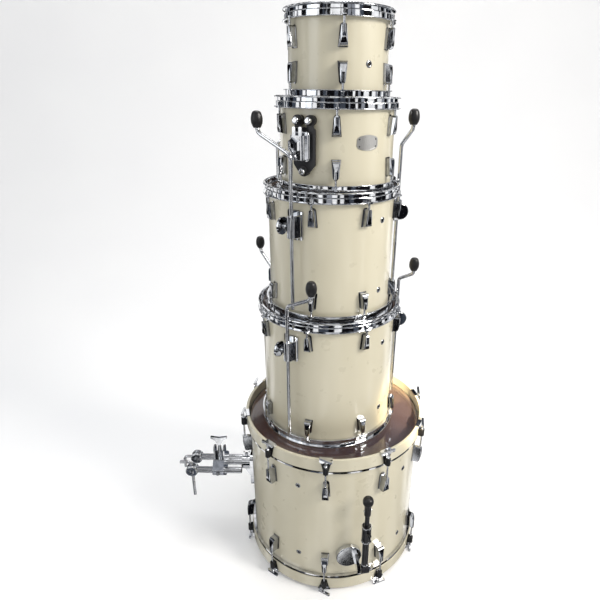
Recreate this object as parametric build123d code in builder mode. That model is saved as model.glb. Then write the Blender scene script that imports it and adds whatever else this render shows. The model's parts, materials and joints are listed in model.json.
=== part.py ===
from build123d import *
from math import cos, degrees, radians, sin
from types import SimpleNamespace
import os

os.makedirs("parts", exist_ok=True)

# Frame: millimetres, +Z up, origin on the floor on the bass drum's axis, -Y is the side with the badge.
# An azimuth is measured from -Y towards +X, in degrees.

# ---------------------------------------------------------------- driving dimensions
FILM = 0.4              # drum-head film
GAP = 0.3               # air between two stacked drums
CLAW_PLATE = 3.0        # claw hook plate over the wood hoop
BAR_TOP = 11.0          # T-rod bars past the wood hoop; the lower ones are what the kit stands on
GASKET = 0.8            # between shell and fitting
ROD_R = 3.0             # tension rod
LEG_R = 5.25            # floor-tom leg and L-rod
RUN = 0.05              # radial clearance of a running fit

TOM_RIM = 15.0          # tom hoop rim past the shell edge
TOM_ROD = 13.5          # tension rod axis past the shell
TOM_SHEET = 2.3         # tom hoop sheet steel
BASS_RIM = 30.0         # wood hoop past the shell edge
BASS_HOOP_IN = 3.0      # wood hoop, inner and outer radius past the shell
BASS_HOOP_OUT = 12.0
BASS_HOOP_LAP = 12.0    # wood hoop below the shell edge
BASS_ROD = 22.0

LEG_REACH = 25.0        # leg axis past the shell
LEG_RISE = 48.5         # height of a leg's slanted stretch
LEG_BEND = 18.0         # its bend radius
FOOT_HEIGHT = 39.0
FOOT_SOCKET = 22.0
FOOT_R = 14.5


def drum(name, x, y, radius, depth, wall, bottom, rim, lugs, first_lug):
    """A drum's sizes; its shell starts at z = bottom."""
    top = bottom + depth
    return SimpleNamespace(
        name=name, x=x, y=y, r=radius, wall=wall, z0=bottom, z1=top, mid=(bottom + top) / 2,
        rim=rim, lugs=lugs, first=first_lug, axis=Axis((x, y, 0), (0, 0, 1)),
        floor=Plane(origin=(x, y, 0)), side=Plane(origin=(x, y, 0), x_dir=(1, 0, 0), z_dir=(0, -1, 0)),
    )


def on_top(lower):
    """Shell bottom of a tom whose hoop stands on the head of the drum below."""
    return lower.z1 + FILM + GAP + TOM_RIM


bass = drum("bass", 0, 0, 279.4, 457, 7.5, BAR_TOP + BASS_RIM, BASS_RIM, 10, -4.4)
tom16 = drum("tom16", -22, 13, 203.2, 381, 6.5, on_top(bass), TOM_RIM, 8, -15.5)
tom14 = drum("tom14", -20, 7, 177.8, 330, 6.5, on_top(tom16), TOM_RIM, 8, -14.8)
tom12 = drum("tom12", -8, 4, 152.4, 203, 6.0, on_top(tom14), TOM_RIM, 6, -0.4)
tom10 = drum("tom10", -8, 3, 127.0, 178, 6.0, on_top(tom12), TOM_RIM, 6, 4.6)


def radial(d, azimuth, r, z=0.0):
    """World point at an azimuth and radius from a drum's axis."""
    a = radians(azimuth)
    return (d.x + r * sin(a), d.y - r * cos(a), z)


def save(part, name):
    """Labels a finished piece and writes its STEP file."""
    part.label = name
    export_step(part, f"parts/{name}.step")


def around(d, template, azimuths, mirrored=False):
    """Copies of a template made at +X, turned to each azimuth about the drum's axis."""
    with BuildPart() as group:
        for azimuth in azimuths:
            place = Location((d.x, d.y, 0), (0, 0, azimuth - 90))
            add(template.moved(place))
        if mirrored:
            mirror(about=Plane.XY.offset(d.mid))
    return group


def lug_azimuths(d):
    return [d.first + 360 / d.lugs * i for i in range(d.lugs)]


# ---------------------------------------------------------------- shells, heads and hoops
def make_shell(d, holes=()):
    """Wooden shell with 45 degree bearing edges; holes are (azimuth, z, radius)."""
    edge = 1.5
    bevel = d.wall - edge
    with BuildPart() as shell:
        with BuildSketch(d.side):
            with BuildLine():
                Polyline(
                    (d.r, d.z0), (d.r, d.z1), (d.r - edge, d.z1), (d.r - d.wall, d.z1 - bevel),
                    (d.r - d.wall, d.z0 + bevel), (d.r - edge, d.z0), close=True,
                )
            make_face()
        revolve(axis=d.axis)
        for azimuth, z, radius in holes:
            outwards = Vector(*radial(d, azimuth, 1)) - Vector(d.x, d.y, 0)
            with BuildSketch(Plane(origin=radial(d, azimuth, d.r, z), z_dir=outwards)):
                Circle(radius)
            extrude(amount=3 * d.wall, both=True, mode=Mode.SUBTRACT)
    save(shell.part, f"{d.name}_shell")


def make_heads(d, flesh_in, flesh_out, flesh_top, flesh_height):
    """Clear film with its collar and flesh hoop, one at each end; heights are from the shell edge."""
    collar = 0.3
    with BuildPart() as heads:
        with BuildSketch(d.side):
            with BuildLine():
                Polyline(
                    (0, d.z1), (0, d.z1 + FILM), (d.r + flesh_in, d.z1 + FILM),
                    (d.r + flesh_in, d.z1 + flesh_top), (d.r + flesh_out, d.z1 + flesh_top),
                    (d.r + flesh_out, d.z1 + flesh_top - flesh_height),
                    (d.r + collar, d.z1 + flesh_top - flesh_height), (d.r + collar, d.z1), close=True,
                )
            make_face()
        revolve(axis=d.axis)
        mirror(about=Plane.XY.offset(d.mid))
    save(heads.part, f"{d.name}_heads")


def make_tom_hoops(d):
    """Triple-flanged steel hoops with an ear and a rod hole at each lug."""
    ear_reach = TOM_ROD + 7
    ear_width = 17
    flange_z = -12.4
    with BuildPart() as hoops:
        with BuildSketch(d.side):
            with BuildLine():
                FilletPolyline(
                    (d.r + 11.6, d.z1 + 12.0), (d.r + 10.6, d.z1 + 13.8), (d.r + 4.3, d.z1 + 13.8),
                    (d.r + 4.3, d.z1 + 2.2), (d.r + 7.4, d.z1 + 1.0), (d.r + 7.4, d.z1 + flange_z),
                    (d.r + 12.5, d.z1 + flange_z), radius=1.3,
                )
                offset(amount=TOM_SHEET / 2, side=Side.BOTH)
            make_face()
        revolve(axis=d.axis)
        with BuildSketch(d.floor.offset(d.z1 + flange_z - TOM_SHEET / 2)):
            with PolarLocations(d.r + (9 + ear_reach) / 2, d.lugs, start_angle=d.first - 90):
                RectangleRounded(ear_reach - 9, ear_width, 3)
        extrude(amount=TOM_SHEET)
        with BuildSketch(d.floor.offset(d.z1 + flange_z - TOM_SHEET)):
            with PolarLocations(d.r + TOM_ROD, d.lugs, start_angle=d.first - 90):
                Circle(ROD_R + 0.5)
        extrude(amount=2 * TOM_SHEET, mode=Mode.SUBTRACT)
        mirror(about=Plane.XY.offset(d.mid))
    save(hoops.part, f"{d.name}_hoops")


def make_bass_hoops(d):
    """Plain wood hoops with softened edges."""
    with BuildPart() as hoops:
        with BuildSketch(d.side):
            with Locations((d.r + (BASS_HOOP_IN + BASS_HOOP_OUT) / 2, d.z1 + (BASS_RIM - BASS_HOOP_LAP) / 2)):
                RectangleRounded(BASS_HOOP_OUT - BASS_HOOP_IN, BASS_RIM + BASS_HOOP_LAP, 2)
        revolve(axis=d.axis)
        mirror(about=Plane.XY.offset(d.mid))
    save(hoops.part, f"{d.name}_hoops")


# ---------------------------------------------------------------- lugs, rods and claws
def lug_template(d, end, length, reach, nut_width, foot_width, rod_offset):
    """One lug at +X: a half-round body, narrow at the nut and wide at the foot, on a thin lipped plate."""
    r = d.r
    base = end - length
    lip = 1.3
    lip_r = r + 2.6
    crown = foot_width / 2 + 1
    with BuildSketch(Plane.YZ) as outline:
        with BuildLine():
            Polyline(
                (nut_width / 2, end - nut_width / 2), (foot_width / 2, base), (-foot_width / 2, base),
                (-nut_width / 2, end - nut_width / 2),
            )
            ThreePointArc(
                (-nut_width / 2, end - nut_width / 2), (0, end), (nut_width / 2, end - nut_width / 2),
            )
        make_face()
    with BuildPart() as lug:
        with BuildSketch(Plane.XZ):
            with BuildLine():
                Polyline((r - 4, base), (r - 4, end - 9), (r + rod_offset - nut_width / 2, end))
                Polyline((r + rod_offset - nut_width / 2, end), (r + reach - 2, end), (r + reach, end - 3))
                ThreePointArc(
                    (r + reach, end - 3), (r + reach - 0.4, end - length / 2), (r + 0.86 * reach, base + 7),
                )
                ThreePointArc((r + 0.86 * reach, base + 7), (r + 0.72 * reach, base + 1.8), (r + 0.5 * reach, base))
                Line((r + 0.5 * reach, base), (r - 4, base))
            make_face()
        extrude(amount=foot_width, both=True)
        extrude(outline.sketch, amount=r + 2 * reach, mode=Mode.INTERSECT)
        with BuildSketch(Plane.XY.offset(base - 5)):
            with Locations((r + reach - crown, 0)):
                Circle(crown)
            with Locations((r + (reach - crown) / 2 - 5, 0)):
                Rectangle(reach - crown + 10, 2 * crown)
        extrude(amount=length + 10, mode=Mode.INTERSECT)
        with BuildPart(mode=Mode.PRIVATE) as plate:
            with BuildSketch(Plane.YZ):
                offset(outline.sketch_local, amount=lip)
            extrude(amount=r + 2 * reach)
            with Locations((0, 0, end - length / 2)):
                Cylinder(lip_r, 2 * length, mode=Mode.INTERSECT)
        add(plate.part)
        with Locations((0, 0, end - length / 2)):
            Cylinder(r + GASKET, 2 * length, mode=Mode.SUBTRACT)
        with Locations((r + rod_offset, 0, end)):
            Cylinder(ROD_R + 0.15, 44, mode=Mode.SUBTRACT)
    return lug.part


def make_lugs(d, end, length, reach, nut_width, foot_width, rod_offset):
    template = lug_template(d, end, length, reach, nut_width, foot_width, rod_offset)
    lugs = around(d, template, lug_azimuths(d), mirrored=True)
    save(lugs.part, f"{d.name}_lugs")


def make_rods(d, seat, end, rod_offset):
    """Tension rods with a collar and a square key head, from inside the lug to the seat on ear or claw."""
    with BuildPart() as rods:
        with BuildSketch(d.floor.offset(end - 18)):
            with PolarLocations(d.r + rod_offset, d.lugs, start_angle=d.first - 90):
                Circle(ROD_R)
        extrude(amount=seat - end + 18)
        with BuildSketch(d.floor.offset(seat)):
            with PolarLocations(d.r + rod_offset, d.lugs, start_angle=d.first - 90):
                Circle(4.8)
        extrude(amount=2.5)
        with BuildSketch(d.floor.offset(seat + 2.5)):
            with PolarLocations(d.r + rod_offset, d.lugs, start_angle=d.first - 90):
                Rectangle(6.3, 6.3)
        extrude(amount=8.5)
        mirror(about=Plane.XY.offset(d.mid))
    save(rods.part, f"{d.name}_tension_rods")


def make_t_rods(d, seat, end, rod_offset):
    """Bass drum rods with a washer and a T bar; the bars stand at different turns, as tuning leaves them."""
    bar = (42, 7)
    bar_height = 7.0
    turns = (-25, -8, 14, -18, 6)
    rim = d.z1 + BASS_RIM
    with BuildPart() as rods:
        with BuildSketch(d.floor.offset(end - 18)):
            with PolarLocations(d.r + rod_offset, d.lugs, start_angle=d.first - 90):
                Circle(ROD_R)
        extrude(amount=rim + BAR_TOP - 2 - end + 18)
        with BuildSketch(d.floor.offset(seat)):
            with PolarLocations(d.r + rod_offset, d.lugs, start_angle=d.first - 90):
                Circle(5.6)
        extrude(amount=2.5)
        for index, azimuth in enumerate(lug_azimuths(d)):
            with BuildSketch(Plane.XY.offset(rim + BAR_TOP - bar_height)):
                with Locations(Location(radial(d, azimuth, d.r + rod_offset), azimuth + turns[index % len(turns)])):
                    RectangleRounded(*bar, 3)
            extrude(amount=bar_height)
        mirror(about=Plane.XY.offset(d.mid))
    save(rods.part, f"{d.name}_tension_rods")


def make_claws(d, boss_top, boss_height):
    """Claws that hook over the wood hoop and carry the rod in an outer boss."""
    rim = d.z1 + BASS_RIM
    out = d.r + BASS_HOOP_OUT
    wall = 3.0
    boss_r = 8.0
    hook_half = 20.0
    with BuildPart() as claw:
        with BuildSketch(Plane.XZ):
            with BuildLine():
                Polyline(
                    (out + 0.05, rim), (out + 0.05, boss_top - boss_height), (out + wall, boss_top - boss_height),
                    (out + wall, rim + CLAW_PLATE - 2), (out + wall - 2, rim + CLAW_PLATE),
                    (out - 9, rim + CLAW_PLATE), (out - 10, rim), close=True,
                )
            make_face()
        extrude(amount=hook_half, both=True)
        with BuildSketch(Plane.YZ):
            with BuildLine():
                Polyline(
                    (8, boss_top - boss_height), (13.5, rim - 14), (hook_half, rim - 3), (hook_half - 2, rim + 4),
                    (2 - hook_half, rim + 4), (-hook_half, rim - 3), (-13.5, rim - 14),
                    (-8, boss_top - boss_height), close=True,
                )
            make_face()
        extrude(amount=out + 20, mode=Mode.INTERSECT)
        with BuildSketch(Plane.XY.offset(boss_top - boss_height)):
            with Locations((d.r + BASS_ROD, 0)):
                Circle(boss_r)
            with Locations((out + 4, 0)):
                Rectangle(7.6, 2 * boss_r)
        extrude(amount=boss_height)
        with Locations((d.r + BASS_ROD, 0, boss_top)):
            Cylinder(ROD_R + 0.3, 4 * boss_height, mode=Mode.SUBTRACT)
    claws = around(d, claw.part, lug_azimuths(d), mirrored=True)
    save(claws.part, f"{d.name}_claws")


# ---------------------------------------------------------------- floor-tom legs
LEG_AZIMUTHS = (-29.3, 106, -127)


def make_leg_brackets(d, centre):
    """Leg clamps: a curved base plate, a flared body round the leg and a thumb screw with a wide knob."""
    axis_r = d.r + LEG_REACH
    plate = 6.0
    nose_r = 12.5
    flare = 17.5
    half_height = 29.0
    with BuildPart() as bracket:
        with BuildSketch(Plane.XY.offset(centre - half_height)):
            with BuildLine():
                Polyline(
                    (d.r - 3, flare), (d.r + 11, flare), (axis_r + 3, nose_r - 0.4), (axis_r + 3, 0.4 - nose_r),
                    (d.r + 11, -flare), (d.r - 3, -flare), close=True,
                )
            make_face()
            with Locations((axis_r, 0)):
                Circle(nose_r)
        extrude(amount=2 * half_height)
        chamfer(bracket.faces().filter_by(Axis.Z).edges(), 1.6)
        with BuildPart(mode=Mode.PRIVATE) as base_plate:
            with BuildSketch(Plane.YZ):
                with Locations((0, centre)):
                    RectangleRounded(40, 76, 5)
            extrude(amount=d.r + 2 * plate)
            with Locations((0, 0, centre)):
                Cylinder(d.r + plate, 90, mode=Mode.INTERSECT)
        add(base_plate.part)
        with Locations((0, 0, centre)):
            Cylinder(d.r + GASKET, 90, mode=Mode.SUBTRACT)
        with Locations((axis_r, 0, centre)):
            Cylinder(LEG_R + RUN, 90, mode=Mode.SUBTRACT)
        with Locations(Location((axis_r, -10, centre), (90, 0, 0))):
            Cylinder(3.1, 14, mode=Mode.SUBTRACT)
    with BuildPart() as screw:
        for start, length, radius in ((7, 20, 3), (14, 9, 8), (26, 7, 23)):
            with BuildSketch(Plane.XZ.offset(start)):
                with Locations((axis_r, centre)):
                    Circle(radius)
            extrude(amount=length)
        fillet(screw.edges().filter_by(GeomType.CIRCLE).group_by(Axis.Y)[0], 2.5)
    with BuildPart() as group:
        add(around(d, bracket.part, LEG_AZIMUTHS).part)
        add(around(d, screw.part, LEG_AZIMUTHS).part)
    save(group.part, f"{d.name}_leg_brackets")


def make_leg(d, number, azimuth, bottom, bend, shift):
    """A leg stored upside down: straight rod, offset bend sideways by shift, and a rubber foot on top."""
    x, y, _ = radial(d, azimuth, d.r + LEG_REACH)
    far_x, far_y = x + shift[0], y + shift[1]
    foot_base = bend + LEG_RISE + 10
    with BuildPart() as leg:
        with BuildLine():
            FilletPolyline(
                (x, y, bottom), (x, y, bend), (far_x, far_y, bend + LEG_RISE),
                (far_x, far_y, foot_base + FOOT_SOCKET), radius=LEG_BEND,
            )
        with BuildSketch(Plane(origin=(x, y, bottom))):
            Circle(LEG_R)
        sweep()
    save(leg.part, f"{d.name}_leg_{number}")
    foot_side = Plane(origin=(far_x, far_y, foot_base), x_dir=(1, 0, 0), z_dir=(0, -1, 0))
    with BuildPart() as foot:
        with BuildSketch(foot_side):
            with BuildLine():
                Polyline((LEG_R, FOOT_SOCKET), (LEG_R, 0), (9, 0), (11.5, 5))
                Spline((11.5, 5), (FOOT_R, 17), (FOOT_R - 1, 27), tangents=[(0.6, 1), (-0.25, 1)])
                Spline(
                    (FOOT_R - 1, 27), (10.3, FOOT_HEIGHT - 3.6), (3, FOOT_HEIGHT), tangents=[(-0.25, 1), (-1, 0.1)],
                )
                Polyline((3, FOOT_HEIGHT), (0, FOOT_HEIGHT), (0, FOOT_SOCKET), (LEG_R, FOOT_SOCKET))
            make_face()
        revolve(axis=Axis((far_x, far_y, 0), (0, 0, 1)))
    save(foot.part, f"{d.name}_leg_{number}_foot")


# ---------------------------------------------------------------- bass drum spurs
SPUR_BASE_AZIMUTH = 10.6
SPUR_MIRROR = -94.4     # the spurs are mirrored about this azimuth, midway between two lugs
SPUR_SIDE = 42.5        # spur axis beside the base, along the shell
SPUR_REACH = 45.8       # spur axis past the shell
SPUR_PIVOT_Z = 128.0
SPUR_BASE_Z = 149.0
SPUR_DISC_R = 40.0
SPUR_TUBE_R = 10.0
SPUR_ROD_R = 7.0
SPUR_COLLAR = (244.0, 306.0)
SPUR_PIN_R = 5.0
SPUR_FOOT_Z = 348.0
SPUR_BALL_R = 16.0


def spur_frame(mirrored):
    """Plane of a spur with x outwards and y up."""
    azimuth = 2 * SPUR_MIRROR - SPUR_BASE_AZIMUTH if mirrored else SPUR_BASE_AZIMUTH
    a = radians(azimuth)
    return Plane(origin=(0, 0, 0), x_dir=(sin(a), -cos(a), 0), z_dir=(-cos(a), -sin(a), 0))


def spur_pieces(mirrored):
    """Base, tube, rod and foot of one spur, in their places; the spur's axis is beside the base."""
    frame = spur_frame(mirrored)
    side = SPUR_SIDE if mirrored else -SPUR_SIDE
    turn = 1 if mirrored else -1
    axis_r = bass.r + SPUR_REACH
    across = frame.offset(side)
    eye_half = 12.0
    disc = Plane(origin=frame.from_local_coords((0, SPUR_BASE_Z, 0)), x_dir=frame.z_dir, z_dir=frame.x_dir)
    with BuildPart() as base:
        with BuildSketch(disc):
            Circle(SPUR_DISC_R)
        extrude(amount=bass.r + 15)
        fillet(base.faces().sort_by(Axis(origin=(0, 0, 0), direction=frame.x_dir))[-1].edges(), 3)
        with BuildSketch(frame.offset(side - turn * (eye_half + 2))):
            with BuildLine():
                Polyline(
                    (bass.r - 4, SPUR_PIVOT_Z - 12), (axis_r - 4, SPUR_PIVOT_Z - 12), (axis_r + 9, SPUR_PIVOT_Z - 7),
                    (axis_r + 10, SPUR_PIVOT_Z + 7), (axis_r - 2, SPUR_PIVOT_Z + 13),
                    (bass.r - 4, SPUR_PIVOT_Z + 40), close=True,
                )
            make_face()
        extrude(amount=-turn * 10)
        with Locations((0, 0, SPUR_BASE_Z)):
            Cylinder(bass.r + GASKET, 180, mode=Mode.SUBTRACT)
        with BuildSketch(frame.offset(side - turn * (eye_half + 4))):
            with Locations((axis_r, SPUR_PIVOT_Z)):
                Circle(SPUR_PIN_R)
        extrude(amount=turn * (2 * eye_half + 5))
        with BuildSketch(frame.offset(side + turn * (eye_half + 1))):
            with Locations((axis_r, SPUR_PIVOT_Z)):
                Circle(9)
        extrude(amount=turn * 5)
    axis_x, axis_y, _ = frame.from_local_coords((axis_r, 0, side))
    rod_start = SPUR_PIVOT_Z + 60
    with BuildPart() as tube:
        with BuildSketch(across):
            with Locations((axis_r, SPUR_PIVOT_Z)):
                Circle(14)
        extrude(amount=eye_half, both=True)
        with BuildSketch(Plane(origin=(axis_x, axis_y, SPUR_PIVOT_Z))):
            Circle(SPUR_TUBE_R)
        extrude(amount=SPUR_COLLAR[1] - SPUR_PIVOT_Z)
        with BuildSketch(Plane(origin=(axis_x, axis_y, SPUR_COLLAR[0]))):
            Circle(SPUR_TUBE_R + 4)
        extrude(amount=SPUR_COLLAR[1] - SPUR_COLLAR[0])
        with BuildSketch(Plane(origin=(axis_x, axis_y, SPUR_PIVOT_Z + 18))):
            Circle(SPUR_ROD_R + RUN)
        extrude(amount=400, mode=Mode.SUBTRACT)
        with BuildSketch(across):
            with Locations((axis_r, SPUR_PIVOT_Z)):
                Circle(SPUR_PIN_R + RUN)
        extrude(amount=2 * eye_half, both=True, mode=Mode.SUBTRACT)
    with BuildPart() as rod:
        with BuildSketch(Plane(origin=(axis_x, axis_y, rod_start))):
            Circle(SPUR_ROD_R)
        extrude(amount=SPUR_FOOT_Z + 20 - rod_start)
    foot_side = Plane(origin=(axis_x, axis_y, SPUR_FOOT_Z), x_dir=(1, 0, 0), z_dir=(0, -1, 0))
    sleeve_r, sleeve, ball = SPUR_ROD_R + 3, 32.0, 50.0
    with BuildPart() as foot:
        with BuildSketch(foot_side):
            with BuildLine():
                Polyline((0, 20), (SPUR_ROD_R, 20), (SPUR_ROD_R, 0), (sleeve_r - 1, 0), (sleeve_r, 1.5))
                Polyline((sleeve_r, 1.5), (sleeve_r, sleeve), (sleeve_r + 2, ball - 10))
                Spline(
                    (sleeve_r + 2, ball - 10), (SPUR_BALL_R, ball), (3, ball + SPUR_BALL_R),
                    tangents=[(1, 0.8), (-1, 0.1)],
                )
                Polyline((3, ball + SPUR_BALL_R), (0, ball + SPUR_BALL_R), (0, 20))
            make_face()
        revolve(axis=Axis((axis_x, axis_y, 0), (0, 0, 1)))
    return base, tube, rod, foot


# ---------------------------------------------------------------- tom holder on the bass drum
HOLDER_Z = 273.0        # post axis
POST_R = 12.7
ARM_R = 11.1
ARM_Y = 34.0
ARM_Z = 263.0
BLOCK_X = (-380.0, -418.0)
BASE_END = -322.0
BALL_X = -492.0
BALL_R = 15.0
POST_X = (-414.0, -288.0)
ARM_END = -320.0
HOUSING_R = 21.0


def make_holder_base():
    """Bracket on the shell with a clamp socket for the post and a rib under it."""
    with BuildPart() as base:
        with BuildSketch(Plane.YZ.offset(-bass.r - 9)):
            with Locations((0, HOLDER_Z - 12)):
                RectangleRounded(78, 122, 14)
        extrude(amount=24)
        with BuildSketch(Plane.YZ.offset(BASE_END)):
            with Locations((0, HOLDER_Z)):
                Circle(24)
        extrude(amount=-BASE_END - bass.r + 2)
        fillet(base.edges().filter_by(GeomType.CIRCLE).group_by(Axis.X)[0], 3)
        with BuildSketch(Plane.XZ):
            with BuildLine():
                Polyline(
                    (-bass.r - 4, HOLDER_Z - 62), (-bass.r - 14, HOLDER_Z - 60), (BASE_END + 6, HOLDER_Z - 20),
                    (BASE_END + 6, HOLDER_Z), (-bass.r - 4, HOLDER_Z), close=True,
                )
            make_face()
        extrude(amount=7, both=True)
        with BuildSketch(Plane.YZ.offset(BASE_END - 5)):
            with Locations((0, HOLDER_Z)):
                Circle(POST_R + RUN)
        extrude(amount=-BASE_END - bass.r, mode=Mode.SUBTRACT)
        with Locations((0, 0, HOLDER_Z)):
            Cylinder(bass.r + GASKET, 200, mode=Mode.SUBTRACT)
    save(base.part, "holder_base")


def make_post():
    with BuildPart() as post:
        with BuildSketch(Plane.YZ.offset(POST_X[0])):
            with Locations((0, HOLDER_Z)):
                Circle(POST_R)
                Circle(POST_R - 2.6, mode=Mode.SUBTRACT)
        extrude(amount=POST_X[1] - POST_X[0])
    save(post.part, "holder_post")


def make_block():
    """Casting that clamps the post's end and the two arms, with a yoke about the wing bolt."""
    middle = sum(BLOCK_X) / 2
    with BuildPart() as block:
        with BuildSketch(Plane.YZ.offset(BLOCK_X[1])):
            with BuildLine():
                Polyline(
                    (-53, ARM_Z - 8), (-30, ARM_Z - 21), (-14, ARM_Z - 42), (14, ARM_Z - 42), (30, ARM_Z - 21),
                    (53, ARM_Z - 8), (53, ARM_Z + 10), (26, HOLDER_Z + 26), (-26, HOLDER_Z + 26),
                    (-53, ARM_Z + 10), close=True,
                )
            make_face()
        extrude(amount=BLOCK_X[0] - BLOCK_X[1])
        fillet(block.edges().filter_by(Axis.X), 5)
        with BuildSketch(Plane.YZ.offset(BLOCK_X[1])):
            with Locations((0, HOLDER_Z + 30)):
                RectangleRounded(30, 78, 14)
        extrude(amount=5)
        with BuildSketch(Plane.YZ.offset(BLOCK_X[0] - 5)):
            with Locations((0, HOLDER_Z + 30)):
                RectangleRounded(30, 78, 14)
        extrude(amount=5)
        with BuildSketch(Plane.YZ.offset(POST_X[0])):
            with Locations((0, HOLDER_Z)):
                Circle(POST_R)
        extrude(amount=60, mode=Mode.SUBTRACT)
        with BuildSketch(Plane.YZ.offset(BLOCK_X[1] - 5)):
            with Locations((-ARM_Y, ARM_Z), (ARM_Y, ARM_Z)):
                Circle(ARM_R + RUN)
        extrude(amount=60, mode=Mode.SUBTRACT)
        with BuildSketch(Plane.XY.offset(HOLDER_Z + POST_R + 3)):
            with Locations((middle, 0)):
                Circle(4.1)
        extrude(amount=40, mode=Mode.SUBTRACT)
    save(block.part, "holder_block")


def make_wing_bolt():
    """T-shaped wing bolt that turns in the block."""
    middle = sum(BLOCK_X) / 2
    top = HOLDER_Z + 26
    with BuildPart() as bolt:
        with BuildSketch(Plane.XY.offset(HOLDER_Z + POST_R + 5)):
            with Locations((middle, 0)):
                Circle(4)
        extrude(amount=80)
        with BuildSketch(Plane.XY.offset(top + 1)):
            with Locations((middle, 0)):
                Circle(9)
        with BuildSketch(Plane.XY.offset(top + 42)):
            with Locations((middle, 0)):
                Circle(6)
        loft()
        with BuildSketch(Plane.XZ):
            with BuildLine():
                Polyline(
                    (middle - 5, top + 46), (middle + 5, top + 46), (middle + 14, top + 66), (middle + 28, top + 74),
                    (middle + 28, top + 81), (middle, top + 77), (middle - 28, top + 81), (middle - 28, top + 74),
                    (middle - 14, top + 66), close=True,
                )
            make_face()
        extrude(amount=4, both=True)
    save(bolt.part, "holder_wing_bolt")


def make_arm(name, y):
    """Arm tube that slides in the block and ends in the split housing of a ball joint."""
    with BuildPart() as arm:
        with BuildSketch(Plane.YZ.offset(BALL_X + 14)):
            with Locations((y, ARM_Z)):
                Circle(ARM_R)
        extrude(amount=ARM_END - BALL_X - 14)
        with BuildSketch(Plane.YZ.offset(ARM_END - 60)):
            with Locations((y, ARM_Z)):
                Circle(ARM_R - 2.2)
        extrude(amount=80, mode=Mode.SUBTRACT)
        with BuildSketch(Plane.XZ.offset(-y)):
            with Locations((BALL_X, ARM_Z)):
                Circle(HOUSING_R)
        extrude(amount=14.5, both=True)
        fillet(arm.edges().filter_by(GeomType.CIRCLE).group_by(Axis.Y)[0], 4)
        fillet(arm.edges().filter_by(GeomType.CIRCLE).group_by(Axis.Y)[-1], 4)
        with Locations((BALL_X, y, ARM_Z)):
            Sphere(BALL_R + 0.35, mode=Mode.SUBTRACT)
        with Locations((BALL_X - 6, y, ARM_Z)):
            Box(39, 12, 50, mode=Mode.SUBTRACT)
    save(arm.part, name)


def make_l_rod(name, y, points):
    """L-shaped tom rod with the ball it turns on; points are the rod's corners in the XZ plane."""
    with BuildPart() as rod:
        with BuildLine():
            FilletPolyline(*[(BALL_X + px, y, ARM_Z + pz) for px, pz in points], radius=13)
        start = Vector(BALL_X + points[0][0], y, ARM_Z + points[0][1])
        heading = Vector(points[1][0] - points[0][0], 0, points[1][1] - points[0][1])
        with BuildSketch(Plane(origin=start, z_dir=heading)):
            Circle(LEG_R)
        sweep()
        with Locations((BALL_X, y, ARM_Z)):
            Sphere(BALL_R)
    save(rod.part, name)


# ---------------------------------------------------------------- tom mounts and badge
MOUNT_AZIMUTH = -28.7
MOUNT_Z = 1361.0
PLATE_GAP = 12.0        # the plate floats this far off the shell
PLATE = 4.5
BOLT_PLACES = ((-17.3, 58.6), (17.3, 58.6), (0, -59))
RECEIVER_LEAN = -18.0   # rod receiver, turned from the radial direction
RECEIVER = 26.0         # its length


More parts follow.
